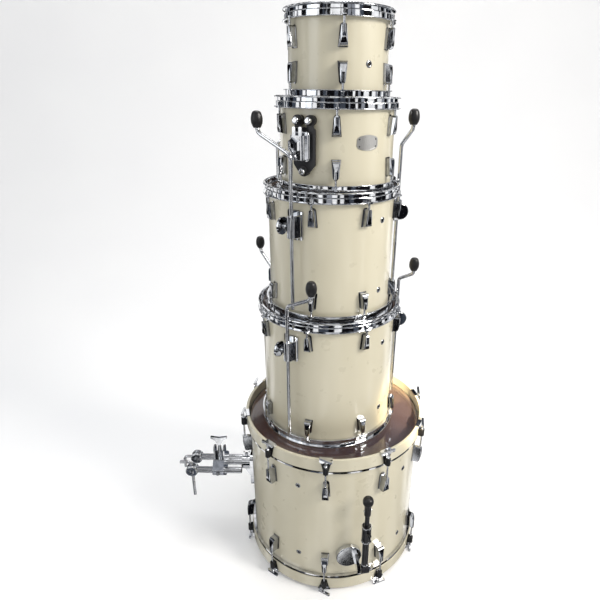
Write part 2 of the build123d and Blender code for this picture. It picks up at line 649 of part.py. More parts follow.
def make_tom12_mount(d):
    """Floating plate held off the shell by three bolts, with a clamp block and a hexagonal rod receiver."""
    turn = Location((d.x, d.y, 0), (0, 0, MOUNT_AZIMUTH - 90))
    ear_r = 13.0
    with BuildPart() as plate:
        with BuildSketch(Plane.YZ):
            with BuildLine():
                Polyline(
                    (-27, MOUNT_Z + 43), (26, MOUNT_Z + 43), (31, MOUNT_Z + 38), (31, MOUNT_Z - 44),
                    (11, MOUNT_Z - 67), (-11, MOUNT_Z - 67), (-31, MOUNT_Z - 44), (-31, MOUNT_Z + 38), close=True,
                )
            make_face()
            with Locations(*[(y, MOUNT_Z + z) for y, z in BOLT_PLACES]):
                Circle(ear_r)
            with Locations(*[(y, MOUNT_Z + z - 12) for y, z in BOLT_PLACES[:2]]):
                Rectangle(18, 24)
        extrude(amount=d.r + 40)
        with Locations((0, 0, MOUNT_Z)):
            Cylinder(d.r + PLATE_GAP + PLATE, 300, mode=Mode.INTERSECT)
            Cylinder(d.r + PLATE_GAP, 300, mode=Mode.SUBTRACT)
        with BuildSketch(Plane.YZ):
            with Locations(*[(y, MOUNT_Z + z) for y, z in BOLT_PLACES]):
                Circle(3.4)
        extrude(amount=d.r + 50, mode=Mode.SUBTRACT)
    save(plate.part.moved(turn), "tom12_mount_plate")
    head = d.r + PLATE_GAP + PLATE + 3
    with BuildPart() as bolts:
        with BuildSketch(Plane.YZ.offset(d.r - 12)):
            with Locations(*[(y, MOUNT_Z + z) for y, z in BOLT_PLACES]):
                Circle(3)
        extrude(amount=head + 2 - d.r + 12)
        with BuildSketch(Plane.YZ.offset(head)):
            with Locations(*[(y, MOUNT_Z + z) for y, z in BOLT_PLACES]):
                Circle(8.5)
        extrude(amount=11)
        fillet(bolts.edges().filter_by(GeomType.CIRCLE).group_by(Axis.X)[-1], 4)
    save(bolts.part.moved(turn), "tom12_mount_bolts")
    face = d.r + PLATE_GAP + PLATE
    lean = radians(RECEIVER_LEAN)
    tip = Plane(origin=(d.r + 47, -14, MOUNT_Z + 2), x_dir=(0, 0, 1), z_dir=(cos(lean), sin(lean), 0))
    with BuildPart() as receiver:
        with BuildSketch(tip.offset(-RECEIVER)):
            RegularPolygon(radius=20, side_count=6)
        extrude(amount=RECEIVER)
        chamfer(receiver.faces().sort_by(Axis(origin=(0, 0, 0), direction=tip.z_dir))[-1].edges(), 2)
        with BuildSketch(tip.offset(-RECEIVER - 1)):
            Circle(LEG_R + RUN)
        extrude(amount=RECEIVER + 2, mode=Mode.SUBTRACT)
    with BuildPart() as block:
        with BuildSketch(Plane.YZ.offset(face - 5)):
            with Locations((-3, MOUNT_Z)):
                RectangleRounded(50, 70, 8)
        extrude(amount=17)
        fillet(block.faces().sort_by(Axis.X)[-1].edges(), 4)
        with BuildSketch(Plane.XY.offset(MOUNT_Z - 30)):
            with Locations((face + 15, -5)):
                RectangleRounded(24, 38, 7)
        extrude(amount=56)
        with BuildSketch(Plane.YZ.offset(face - 5)):
            with Locations((-16, MOUNT_Z + 30), (2, MOUNT_Z + 30)):
                RectangleRounded(9, 30, 3)
        extrude(amount=24)
        with BuildSketch(tip.offset(-RECEIVER)):
            RegularPolygon(radius=20, side_count=6)
        extrude(amount=2 * RECEIVER, mode=Mode.SUBTRACT)
        with BuildSketch(tip.offset(-RECEIVER - 6)):
            Circle(LEG_R + 1)
        extrude(amount=10, mode=Mode.SUBTRACT)
        with Locations((0, 0, MOUNT_Z)):
            Cylinder(face, 300, mode=Mode.SUBTRACT)
    with BuildPart() as clamp:
        add(block.part.moved(turn))
        add(receiver.part.moved(turn))
    save(clamp.part, "tom12_mount_clamp")


def make_tom10_mount(d, azimuth):
    """Plain mount bracket: plate, boss and a vertical rod bore."""
    with BuildPart() as bracket:
        with BuildSketch(Plane.YZ):
            with Locations((0, d.mid)):
                RectangleRounded(44, 92, 10)
        extrude(amount=d.r + 40)
        with Locations((0, 0, d.mid)):
            Cylinder(d.r + 7, 200, mode=Mode.INTERSECT)
        with BuildSketch(Plane.XY.offset(d.mid - 24)):
            with Locations((d.r + 18, 0)):
                RectangleRounded(36, 30, 7)
        extrude(amount=48)
        with Locations((0, 0, d.mid)):
            Cylinder(d.r + GASKET, 200, mode=Mode.SUBTRACT)
        with Locations((d.r + 25, 0, d.mid)):
            Cylinder(LEG_R + RUN, 80, mode=Mode.SUBTRACT)
    placed = bracket.part.moved(Location((d.x, d.y, 0), (0, 0, azimuth - 90)))
    save(placed, f"{d.name}_mount_bracket")


def badge_outline(half_width, half_height, z):
    """Barrel outline: upright sides, bowed top and bottom edges and cut corners."""
    corner = half_width - 4.5
    shoulder = half_height - 5
    with BuildSketch() as outline:
        with BuildLine():
            ThreePointArc((-corner, z + shoulder), (0, z + half_height), (corner, z + shoulder))
            Polyline((corner, z + shoulder), (half_width, z + shoulder - 5), (half_width, z + 5 - shoulder))
            Line((half_width, z + 5 - shoulder), (corner, z - shoulder))
            ThreePointArc((corner, z - shoulder), (0, z - half_height), (-corner, z - shoulder))
            Polyline((-corner, z - shoulder), (-half_width, z + 5 - shoulder), (-half_width, z + shoulder - 5))
            Line((-half_width, z + shoulder - 5), (-corner, z + shoulder))
        make_face()
    return outline.sketch


def make_badge(d, azimuth, z):
    """Blank plate on the shell, with a raised border."""
    with BuildPart() as badge:
        with BuildSketch(Plane.YZ):
            add(badge_outline(30, 18.5, z))
        extrude(amount=d.r + 20)
        with Locations((0, 0, z)):
            Cylinder(d.r + 1.6, 100, mode=Mode.INTERSECT)
            Cylinder(d.r + 0.02, 100, mode=Mode.SUBTRACT)
        with BuildPart(mode=Mode.PRIVATE) as field:
            with BuildSketch(Plane.YZ):
                add(badge_outline(27.5, 16, z))
            extrude(amount=d.r + 20)
            with Locations((0, 0, z)):
                Cylinder(d.r + 1.0, 100, mode=Mode.SUBTRACT)
        add(field.part, mode=Mode.SUBTRACT)
    placed = badge.part.moved(Location((d.x, d.y, 0), (0, 0, azimuth - 90)))
    save(placed, f"{d.name}_badge")


# ---------------------------------------------------------------- the kit
VENT_R = 5.0
tom12_mount_holes = [
    (MOUNT_AZIMUTH + degrees(y / tom12.r), MOUNT_Z + z, 4.3) for y, z in BOLT_PLACES
]
make_shell(bass, [(a, bass.mid + z, VENT_R) for a in (-22.2, 51.2) for z in (-136.5, 136.5)])
make_shell(tom16, [(51.2, tom16.mid + z, VENT_R) for z in (-112, 112)])
make_shell(tom14, [(50.1, tom14.mid + z, VENT_R) for z in (-99, 99)])
make_shell(tom12, tom12_mount_holes)
make_shell(tom10, [(34.7, tom10.mid - 19, VENT_R)])

make_heads(bass, 1.2, 9.5, -BASS_HOOP_LAP, 9)
make_bass_hoops(bass)
BASS_BOSS_TOP = bass.z1 + BASS_RIM - 16
BASS_NUT_END = bass.z1 - 55
make_lugs(bass, BASS_NUT_END, 56, 29, 14, 21, BASS_ROD)
make_t_rods(bass, BASS_BOSS_TOP, BASS_NUT_END, BASS_ROD)
make_claws(bass, BASS_BOSS_TOP, 24)

for tom in (tom16, tom14, tom12, tom10):
    make_heads(tom, 1.0, 5.8, -0.3, 8.2)
    make_tom_hoops(tom)
    make_lugs(tom, tom.z1 - 27, 46, 20.5, 12, 20, TOM_ROD)
    make_rods(tom, tom.z1 - 12.4 + TOM_SHEET / 2, tom.z1 - 27, TOM_ROD)

# Each stored leg: bend height and sideways shift; the legs of a tom are equally long.
LEGS = (
    (tom16, 819, 412, ((954, (68, -67)), (946, (29, -91)), (936, (-55, 78)))),
    (tom14, 1167, 402, ((1342, (-84, 45)), (1350, (16, -94)), (1340, (60, 74)))),
)
for tom, clamp_z, straight, bends in LEGS:
    make_leg_brackets(tom, clamp_z)
    for index, (leg_azimuth, (leg_bend, leg_shift)) in enumerate(zip(LEG_AZIMUTHS, bends), start=1):
        make_leg(tom, index, leg_azimuth, leg_bend - straight, leg_bend, leg_shift)

front_spur = spur_pieces(mirrored=False)
rear_spur = spur_pieces(mirrored=True)
with BuildPart() as spur_bases:
    add(front_spur[0].part)
    add(rear_spur[0].part)
save(spur_bases.part, "spur_bases")
for place, pieces in (("front", front_spur), ("rear", rear_spur)):
    save(pieces[1].part, f"spur_tube_{place}")
    save(pieces[2].part, f"spur_rod_{place}")
    save(pieces[3].part, f"spur_foot_{place}")

make_holder_base()
make_post()
make_block()
make_wing_bolt()
make_arm("holder_arm_a", -ARM_Y)
make_arm("holder_arm_b", ARM_Y)
make_l_rod("holder_l_rod_a", -ARM_Y, ((0, -112), (0, 32), (-40, 32)))
make_l_rod("holder_l_rod_b", ARM_Y, ((0, 0), (-46, 0), (-46, -46)))

make_tom12_mount(tom12)
make_badge(tom12, 29.8, MOUNT_Z + 9)
make_tom10_mount(tom10, -145)
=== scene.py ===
import json
from math import atan2, cos, degrees, hypot, pi, radians, sin
from types import SimpleNamespace

import bpy
from mathutils import Matrix, Vector


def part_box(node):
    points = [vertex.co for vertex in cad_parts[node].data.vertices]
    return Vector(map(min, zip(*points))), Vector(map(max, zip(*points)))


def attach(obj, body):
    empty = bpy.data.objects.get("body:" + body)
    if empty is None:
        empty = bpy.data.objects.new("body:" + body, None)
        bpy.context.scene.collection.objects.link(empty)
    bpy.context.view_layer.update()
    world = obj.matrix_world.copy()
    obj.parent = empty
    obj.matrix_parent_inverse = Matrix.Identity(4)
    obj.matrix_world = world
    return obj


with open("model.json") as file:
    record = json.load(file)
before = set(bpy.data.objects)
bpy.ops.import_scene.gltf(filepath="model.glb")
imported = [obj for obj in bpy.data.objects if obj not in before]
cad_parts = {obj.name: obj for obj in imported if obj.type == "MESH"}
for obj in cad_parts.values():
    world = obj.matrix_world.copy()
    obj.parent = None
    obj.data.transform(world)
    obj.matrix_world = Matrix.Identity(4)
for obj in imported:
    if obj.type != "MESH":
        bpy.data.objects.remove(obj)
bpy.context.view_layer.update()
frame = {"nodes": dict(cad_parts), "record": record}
nodes = frame["nodes"]

MM = 0.001
DRUMS = ("bass", "tom16", "tom14", "tom12", "tom10")
CAD_SHARP = radians(32)     # folds steeper than this keep a hard edge in shading
PIECE_SHARP = radians(35)
QUARTER_TURN = pi / 2


# ---------------------------------------------------------------- reading the frame
def drum_sizes(name):
    """Axis, outer radius, middle height and half height of a drum's shell, from its box."""
    lo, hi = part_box(f"{name}_shell")
    return SimpleNamespace(
        name=name, body="bass_drum" if name == "bass" else name,
        x=(lo.x + hi.x) / 2, y=(lo.y + hi.y) / 2, r=(hi.x - lo.x) / 2,
        mid=(lo.z + hi.z) / 2, half=(hi.z - lo.z) / 2,
    )


def islands(node):
    """Boxes (centre, low, high) of a CAD node's separate solids, in a fixed order."""
    mesh = nodes[node].data
    weld_digits, order_digits = 5, 4
    ids, parent = {}, []

    def find(i):
        while parent[i] != i:
            parent[i] = parent[parent[i]]
            i = parent[i]
        return i

    corner = []
    for v in mesh.vertices:
        key = tuple(round(c, weld_digits) for c in v.co)
        if key not in ids:
            ids[key] = len(parent)
            parent.append(ids[key])
        corner.append(ids[key])
    for p in mesh.polygons:
        first = find(corner[p.vertices[0]])
        for v in p.vertices[1:]:
            parent[find(corner[v])] = first
    groups = {}
    for v in mesh.vertices:
        groups.setdefault(find(corner[v.index]), []).append(v.co)
    found = []
    for points in groups.values():
        lo = Vector([min(p[i] for p in points) for i in range(3)])
        hi = Vector([max(p[i] for p in points) for i in range(3)])
        found.append(((lo + hi) / 2, lo, hi))
    return sorted(found, key=lambda f: [round(c, order_digits) for c in (f[0].z, f[0].x, f[0].y)])


drums = {name: drum_sizes(name) for name in DRUMS}


def azimuth_of(d, point):
    """Direction of a point seen from a drum's axis, in degrees from -Y towards +X."""
    return degrees(atan2(point.x - d.x, d.y - point.y))


def outwards(d, azimuth, r, z):
    """Place on a drum with local Z outwards, X along the shell and Y up."""
    a = radians(azimuth)
    return Matrix((
        (cos(a), 0, sin(a), d.x + r * sin(a)),
        (sin(a), 0, -cos(a), d.y - r * cos(a)),
        (0, 1, 0, z),
        (0, 0, 0, 1),
    ))


def turned(x, y, z, angle, axis):
    """Place at a point in metres, turned about one of the main axes."""
    return Matrix.Translation((x, y, z)) @ Matrix.Rotation(angle, 4, axis)


# ---------------------------------------------------------------- meshes
def new_object(name, verts, faces, mat):
    """A smooth-shaded mesh object in the scene."""
    mesh = bpy.data.meshes.new(name)
    mesh.from_pydata(verts, [], faces)
    mesh.validate()
    mesh.shade_smooth()
    mesh.materials.append(mat)
    obj = bpy.data.objects.new(name, mesh)
    bpy.context.scene.collection.objects.link(obj)
    return obj


class Shape:
    """Vertices and faces of several simple forms, which become one piece.

    The forms are described in millimetres and placed in metres.
    """

    def __init__(self):
        self.verts, self.faces = [], []

    def put(self, verts, faces, place):
        """Adds vertices, moved to their place, and the faces between them."""
        base = len(self.verts)
        self.verts += [tuple(place @ Vector(v)) for v in verts]
        self.faces += [tuple(base + i for i in f) for f in faces]

    def lathe(self, profile, place, segments=40):
        """Adds a form of revolution about local Z from a profile of (radius, height).

        A profile that starts or ends on the axis is closed there, any other on itself.
        """
        verts, faces, rings = [], [], []
        for r, h in profile:
            if r == 0:
                rings.append([len(verts)])
                verts.append((0, 0, h * MM))
            else:
                rings.append(list(range(len(verts), len(verts) + segments)))
                turns = [2 * pi * i / segments for i in range(segments)]
                verts += [(r * MM * cos(a), r * MM * sin(a), h * MM) for a in turns]
        pairs = list(zip(rings, rings[1:]))
        if len(rings[0]) > 1 and len(rings[-1]) > 1:
            pairs.append((rings[-1], rings[0]))
        for a, b in pairs:
            for i in range(segments):
                j = (i + 1) % segments
                loop = [a[i % len(a)], a[j % len(a)], b[j % len(b)], b[i % len(b)]]
                loop = [v for k, v in enumerate(loop) if v not in loop[:k]]
                if len(loop) > 2:
                    faces.append(tuple(loop))
        self.put(verts, faces, place)

    def prism(self, outline, low, high, place, bevel):
        """Adds an outline (x, y) raised along local Z, with a bevelled upper edge."""
        n = len(outline)
        cx = sum(p[0] for p in outline) / n
        cy = sum(p[1] for p in outline) / n
        span = max(hypot(x - cx, y - cy) for x, y in outline)
        shrink = 1 - bevel / span
        smaller = [(cx + (x - cx) * shrink, cy + (y - cy) * shrink) for x, y in outline]
        verts = []
        for ring, height in ((outline, low), (outline, high - bevel), (smaller, high)):
            verts += [(x * MM, y * MM, height * MM) for x, y in ring]
        faces = [tuple(reversed(range(n))), tuple(range(2 * n, 3 * n))]
        for level in (0, n):
            for i in range(n):
                j = (i + 1) % n
                faces.append((level + i, level + j, level + n + j, level + n + i))
        self.put(verts, faces, place)

    def pad(self, d, azimuth, z, outline):
        """Adds a thin pad on a drum's shell; its outline is (along, up) about its centre."""
        rings = []
        for level in PAD_LEVELS:
            ring = []
            for s, up in outline:
                a = radians(azimuth) + s * MM / d.r
                r = d.r + level * MM
                ring.append((d.x + r * sin(a), d.y - r * cos(a), z + up * MM))
            rings.append(ring)
        n = len(outline)
        middles = [tuple(sum(c) / n for c in zip(*ring)) for ring in rings]
        steps = [(i, (i + 1) % n) for i in range(n)]
        faces = [(i, j, n + j, n + i) for i, j in steps]
        faces += [(j, i, 2 * n) for i, j in steps]
        faces += [(n + i, n + j, 2 * n + 1) for i, j in steps]
        self.put(rings[0] + rings[1] + middles, faces, Matrix.Identity(4))

    def make(self, name, body, slot):
        """Turns the shape into a piece that rides on a body and wears its slot's material."""
        obj = new_object(name, self.verts, self.faces, SLOT_MATERIALS[slot])
        obj.data.set_sharp_from_angle(angle=PIECE_SHARP)
        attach(obj, body)


def rounded(width, height, radius, steps=6):
    """Outline of a rounded rectangle centred on the origin."""
    outline = []
    for quarter, (sx, sy) in enumerate(((1, 1), (-1, 1), (-1, -1), (1, -1))):
        cx, cy = sx * (width / 2 - radius), sy * (height / 2 - radius)
        for step in range(steps + 1):
            a = (quarter + step / steps) * QUARTER_TURN
            outline.append((cx + radius * cos(a), cy + radius * sin(a)))
    return outline


# ---------------------------------------------------------------- shader nodes
class Nodes:
    """Short way to add shader nodes to a tree; an input is a socket or a plain value."""

    def __init__(self, tree, coordinates):
        self.tree = tree
        self.place = tree.nodes.new("ShaderNodeTexCoord").outputs[coordinates]

    def add(self, kind, inputs=(), **settings):
        """A new node with its inputs filled and its settings made."""
        node = self.tree.nodes.new(kind)
        for key, value in settings.items():
            setattr(node, key, value)
        for key, value in dict(inputs).items():
            self.set(node, key, value)
        return node

    def set(self, node, key, value):
        if isinstance(value, bpy.types.NodeSocket):
            self.tree.links.new(value, node.inputs[key])
        else:
            node.inputs[key].default_value = value

    def math(self, operation, a, b=0.0):
        return self.add("ShaderNodeMath", {0: a, 1: b}, operation=operation).outputs[0]

    def parts(self, vector):
        """The three components of a vector or colour."""
        return self.add("ShaderNodeSeparateXYZ", {0: vector}).outputs

    def stretched(self, scale):
        """The tree's coordinates, scaled along each axis."""
        return self.add("ShaderNodeMapping", {"Vector": self.place, "Scale": scale}).outputs[0]

    def noise(self, scale, detail=2.0, vector=None, roughness=0.5):
        inputs = {"Vector": vector or self.place, "Scale": scale, "Detail": detail}
        inputs["Roughness"] = roughness
        return self.add("ShaderNodeTexNoise", inputs).outputs["Fac"]

    def ramp(self, fac, *stops, interpolation="LINEAR"):
        """Colours from (position, colour) stops, chosen by fac."""
        node = self.add("ShaderNodeValToRGB", {"Fac": fac})
        node.color_ramp.interpolation = interpolation
        elements = node.color_ramp.elements
        while len(elements) < len(stops):
            elements.new(0.5)
        for element, (position, colour) in zip(elements, stops):
            element.position = position
            element.color = (*colour, 1)
        return node.outputs["Color"]

    def between(self, fac, low, high):
        """fac from 0 to 1 turned into low to high."""
        inputs = {"Value": fac, "To Min": low, "To Max": high}
        return self.add("ShaderNodeMapRange", inputs).outputs[0]

    def mix(self, fac, a, b):
        """Colour a where fac is 0 and colour b where it is 1."""
        node = self.add("ShaderNodeMix", {0: fac}, data_type="RGBA")
        for index, value in ((6, a), (7, b)):
            if isinstance(value, tuple):
                value = (*value, 1)
            self.set(node, index, value)
        return node.outputs[2]

    def bump(self, height, strength, distance):
        """A normal tilted by a height that varies; distance is in metres."""
        inputs = {"Height": height, "Strength": strength, "Distance": distance}
        return self.add("ShaderNodeBump", inputs).outputs["Normal"]

    def radius(self, x, y):
        """Distance from a vertical axis, in metres."""
        parts = self.parts(self.place)
        dx = self.math("SUBTRACT", parts[0], x)
        dy = self.math("SUBTRACT", parts[1], y)
        square = self.math("ADD", self.math("MULTIPLY", dx, dx), self.math("MULTIPLY", dy, dy))
        return self.math("SQRT", square)

    def height_from(self, z):
        """Distance above or below a level, in metres."""
        return self.math("ABSOLUTE", self.math("SUBTRACT", self.parts(self.place)[2], z))


class Surface(Nodes):
    """The nodes of a new material, which end in its Principled shader."""

    def __init__(self, name):
        self.mat = bpy.data.materials.new(name)
        self.mat.use_nodes = True
        super().__init__(self.mat.node_tree, "Object")

    def material(self, **inputs):
        """Fills the shader's inputs, written with _ for a space, and gives the material."""
        shader = self.tree.nodes["Principled BSDF"]
        for key, value in inputs.items():
            self.set(shader, key.replace("_", " "), value)
        return self.mat


# ---------------------------------------------------------------- materials
CREAM = ((0.560, 0.520, 0.395), (0.590, 0.548, 0.418))
MAPLE_GRAIN = ((0.52, 0.33, 0.17), (0.74, 0.54, 0.33))
MAPLE_FIGURE = (0.80, 0.60, 0.38)
INK = (0.006, 0.006, 0.007)
CLAW_PAINT = (INK, (0.016, 0.016, 0.018))
CLAW_PLATING = (0.78, 0.79, 0.81)
# painted reflection: the head film is tinted dark plum in place of the dark reflections it shows
FILM_WITH_PAINTED_REFLECTION = ((0.060, 0.036, 0.050), (0.115, 0.088, 0.104))
FLESH_HOOP = ((0.56, 0.56, 0.57), (0.80, 0.80, 0.81))
RUBBER_BLACK = ((0.004, 0.004, 0.005), (0.011, 0.010, 0.011))
STEEL_BLACK = (INK, (0.020, 0.020, 0.023))
BADGE_METAL = ((0.50, 0.49, 0.47), (0.80, 0.79, 0.76))
STAGE_WHITE = ((0.90, 0.90, 0.905), (0.93, 0.93, 0.93))

PLY_START = 1.6 * MM        # how far inside the shell's outer face the maple begins
HOOK_START = 21 * MM        # chrome on the claws begins this far past the shell's edge
FLESH_HOOP_START = 0.55 * MM    # the film ends this far outside the shell
PAINTED_SHADE_DEPTH = 16 * MM        # the painted shade on the bass flesh hoop, in the gap under the wood hoop, reaches this far inside the shell's edge


def cream_lacquer(name, drum=None):
    """Polished cream lacquer with a faint mottle and orange peel; a shell is maple ply inside."""
    n = Surface(name)
    mottle = n.noise(5, 2)
    colour = n.ramp(mottle, (0.3, CREAM[0]), (0.7, CREAM[1]))
    peel = n.noise(300, 1)
    haze = n.between(n.noise(24, 3), 0.24, 0.34)
    normal = n.bump(peel, 0.03, 0.0001)
    if drum:
        inner = n.math("LESS_THAN", n.radius(drum.x, drum.y), drum.r - PLY_START)
        grain = n.noise(1, 5, n.stretched((260, 260, 7)), 0.62)
        figure = n.noise(9, 2, n.stretched((1, 1, 3)))
        ply = n.ramp(grain, (0.30, MAPLE_GRAIN[0]), (0.70, MAPLE_GRAIN[1]))
        maple = n.mix(n.math("MULTIPLY", figure, 0.6), ply, MAPLE_FIGURE)
        colour = n.mix(inner, colour, maple)
        haze = n.math("ADD", haze, n.math("MULTIPLY", inner, 0.16))
    return n.material(
        Base_Color=colour, Roughness=haze, Normal=normal,
        Coat_Weight=0.8, Coat_Roughness=0.16, Coat_IOR=1.5,
    )


def chrome(name, tint, rough, cloudy, thread=0.0):
    """Polished plating with handling haze, darker dust and faint ripples, or a rod's thread."""
    n = Surface(name)
    cloud = n.noise(cloudy, 5, roughness=0.6)
    dusty = tuple(c * 0.72 for c in tint)
    colour = n.ramp(cloud, (0.30, dusty), (0.62, tint))
    smear = n.between(n.noise(90, 4), *rough)
    if thread:
        inputs = {"Vector": n.place, "Scale": thread}
        relief = n.add("ShaderNodeTexWave", inputs, bands_direction="Z").outputs["Fac"]
    else:
        relief = n.noise(160, 2)
    normal = n.bump(relief, 0.06, 0.0002)
    return n.material(Base_Color=colour, Metallic=1.0, Roughness=smear, Normal=normal)


def claw_metal(name, drum):
    """Chrome where the claw hooks over the hoop, satin black on its body below."""
    n = Surface(name)
    wander = n.math("MULTIPLY", n.noise(120, 2), 0.002)
    edge = n.math("ADD", n.height_from(drum.mid), wander)
    hook = n.math("GREATER_THAN", edge, drum.half + HOOK_START)
    paint = n.ramp(n.noise(150, 3), (0.3, CLAW_PAINT[0]), (0.7, CLAW_PAINT[1]))
    return n.material(
        Base_Color=n.mix(hook, paint, CLAW_PLATING), Metallic=n.between(hook, 0.3, 1.0),
        Roughness=n.between(hook, 0.26, 0.08), Normal=n.bump(n.noise(260, 3), 0.12, 0.0003),
    )


def drum_film(name, drum):
    """Clear polyester film tinted plum as a painted reflection; past the shell's edge the flesh
    hoop, with painted shade on the bass next to the wood hoop.
    """
    n = Surface(name)
    away = n.radius(drum.x, drum.y)
    hoop = n.math("GREATER_THAN", away, drum.r + FLESH_HOOP_START)
    cloud = n.noise(5, 4, roughness=0.55)
    # painted reflection: the film's plum tint stands in for the dark reflections on the heads
    film = n.ramp(cloud, (0.30, FILM_WITH_PAINTED_REFLECTION[0]), (0.70, FILM_WITH_PAINTED_REFLECTION[1]))
    metal = n.ramp(n.noise(60, 3), (0.3, FLESH_HOOP[0]), (0.7, FLESH_HOOP[1]))
    if drum.name == "bass":
        # painted shade: the bass flesh hoop is painted black where it meets the wood hoop, in
        # place of the shadow in that gap
        gap_shade = n.math("GREATER_THAN", n.height_from(drum.mid), drum.half - PAINTED_SHADE_DEPTH)
        metal = n.mix(gap_shade, metal, INK)
    return n.material(
        Base_Color=n.mix(hoop, film, metal), Metallic=hoop, IOR=2.1,
        Roughness=n.between(cloud, 0.03, 0.12),
        Alpha=n.math("MAXIMUM", hoop, n.between(cloud, 0.32, 0.46)),
        Normal=n.bump(n.noise(18, 3), 0.10, 0.002), Coat_Weight=0.6, Coat_Roughness=0.02,
    )


def rubber(name):
    """Black moulded rubber with a fine grain."""
    n = Surface(name)
    return n.material(
        Base_Color=n.ramp(n.noise(60, 4), (0.3, RUBBER_BLACK[0]), (0.7, RUBBER_BLACK[1])),
        Roughness=n.between(n.noise(140, 3), 0.26, 0.46),
        Normal=n.bump(n.noise(900, 2), 0.2, 0.0001),
    )


def black_steel(name):
    """Powder-coated steel, slightly glossy."""
    n = Surface(name)
    return n.material(
        Base_Color=n.ramp(n.noise(34, 5), (0.3, STEEL_BLACK[0]), (0.75, STEEL_BLACK[1])),
        Metallic=0.35, Roughness=n.between(n.noise(80, 4), 0.24, 0.44),
        Normal=n.bump(n.noise(700, 2), 0.15, 0.0002), Coat_Weight=0.35, Coat_Roughness=0.12,
    )


def brushed_plate(name):
    """Brushed badge metal, with the streaks running up and down."""
    n = Surface(name)
    streak = n.noise(1, 4, n.stretched((2400, 2400, 45)), 0.7)
    return n.material(
        Base_Color=n.ramp(streak, (0.30, BADGE_METAL[0]), (0.70, BADGE_METAL[1])), Metallic=1.0,
        Roughness=n.between(streak, 0.22, 0.42), Normal=n.bump(streak, 0.2, 0.0001),
    )


BRIGHT, DEEP, CAST = (0.74, 0.75, 0.77), (0.52, 0.53, 0.55), (0.72, 0.73, 0.75)
SLOT_MATERIALS = {
    "hoop_chrome": chrome("hoop_chrome", BRIGHT, (0.03, 0.09), 30),
    "lug_chrome": chrome("lug_chrome", DEEP, (0.03, 0.10), 70),
    "cast_chrome": chrome("cast_chrome", CAST, (0.03, 0.10), 55),
    "chrome_rod": chrome("rod_chrome", BRIGHT, (0.04, 0.12), 50),
    "rubber": rubber("rubber"),
    "black_steel": black_steel("black_steel"),
    "badge_metal": brushed_plate("badge_metal"),
}
THREAD_CHROME = chrome("thread_chrome", BRIGHT, (0.08, 0.18), 60, thread=260)


def dress_nodes():
    """Gives every CAD node its material, from its slot or from the drum it belongs to."""
    slots = {s["node"]: s["material_slot"] for s in frame["record"]["subparts"]}
    for name, obj in nodes.items():
        drum = drums.get(name.split("_")[0])
        slot = slots[name]
        if slot == "cream_shell":
            mat = cream_lacquer(f"{name}_lacquer", drum)
        elif slot == "cream_hoop":
            mat = cream_lacquer("hoop_lacquer")
        elif slot == "drum_film":
            mat = drum_film(f"{name}_film", drum)
        elif slot == "claw_metal":
            mat = claw_metal("claw_metal", drum)
        elif name.endswith("tension_rods"):
            mat = THREAD_CHROME
        else:
            mat = SLOT_MATERIALS[slot]
        obj.data.materials.clear()
        obj.data.materials.append(mat)
        obj.data.shade_smooth()
        obj.data.set_sharp_from_angle(angle=CAD_SHARP)


# ---------------------------------------------------------------- small pieces on the drums
# Bare sizes are millimetres; what comes from the frame or has MM beside it is metres.
# A profile is a list of (radius, height) for Shape.lathe.
VENTS = {       # azimuth, and height above the middle of the shell
    "bass": ((-22.2, -136.5), (-22.2, 136.5), (51.2, -136.5), (51.2, 136.5)),
    "tom16": ((51.2, -112), (51.2, 112)),
    "tom14": ((50.1, -99), (50.1, 99)),
    "tom10": ((34.7, -19),),
}
GROMMET = (
    (3.95, -9.5), (4.85, -9.5), (4.85, -0.5), (8.4, -0.5), (8.4, 0.35),
    (7.5, 1.25), (5.75, 1.7), (4.45, 1.2), (3.95, 0),
)
SHELL_WALL = {"bass": 7.5, "tom16": 6.5, "tom14": 6.5, "tom12": 6.0, "tom10": 6.0}
PAD_LEVELS = (0.02, 0.8)            # both faces of a pad, above the shell
FOOT_LIP, NUT_LIP = 0.7, 0.6        # how far a gasket shows past each end of its lug
BASS_LUG = (12.5, 9.0)              # half the width of a gasket's foot, radius of its round end
TOM_LUG = (12.0, 8.0)
BASS_LUG_SCREWS = (-0.22, 0.18)     # heights above the middle, as a share of the lug's height
TOM_LUG_SCREWS = (-0.1,)
LUG_SCREW = (
    (0, -1), (6.2, -1), (6.2, 1.0), (4.4, 1.0), (4.4, 2.6), (3.2, 3.8), (1.2, 4.1), (0, 4.1),
)
MOUNT_WASHERS = (
    ((4.0, 0.4), (11.6, 0.4), (12.2, 1.2), (11.0, 6.0), (12.2, 10.8), (11.6, 11.8), (4.0, 11.8)),
    ((3.6, 16.6), (12.0, 16.6), (12.6, 17.2), (12.4, 18.6), (11.2, 19.4), (3.6, 19.4)),
)
BADGE_SCREW = ((0, 0.3), (1.9, 0.3), (1.9, 1.4), (1.3, 1.9), (0, 2.0))
BADGE_SCREW_ALONG, BADGE_SCREW_UP = 23.5, 8.5       # from the badge's centre
BRACKET_PAD = rounded(42, 78, 6)
BRACKET_HEIGHT = 50                 # shorter solids of the bracket nodes are thumb screws


def add_vents(d):
    """Plated grommets in the shell's air holes; each stands in its hole."""
    for number, (azimuth, z) in enumerate(VENTS.get(d.name, ()), start=1):
        grommet = Shape()
        grommet.lathe(GROMMET, outwards(d, azimuth, d.r, d.mid + z * MM))
        grommet.make(f"{d.name}_vent_{number}", d.body, "lug_chrome")


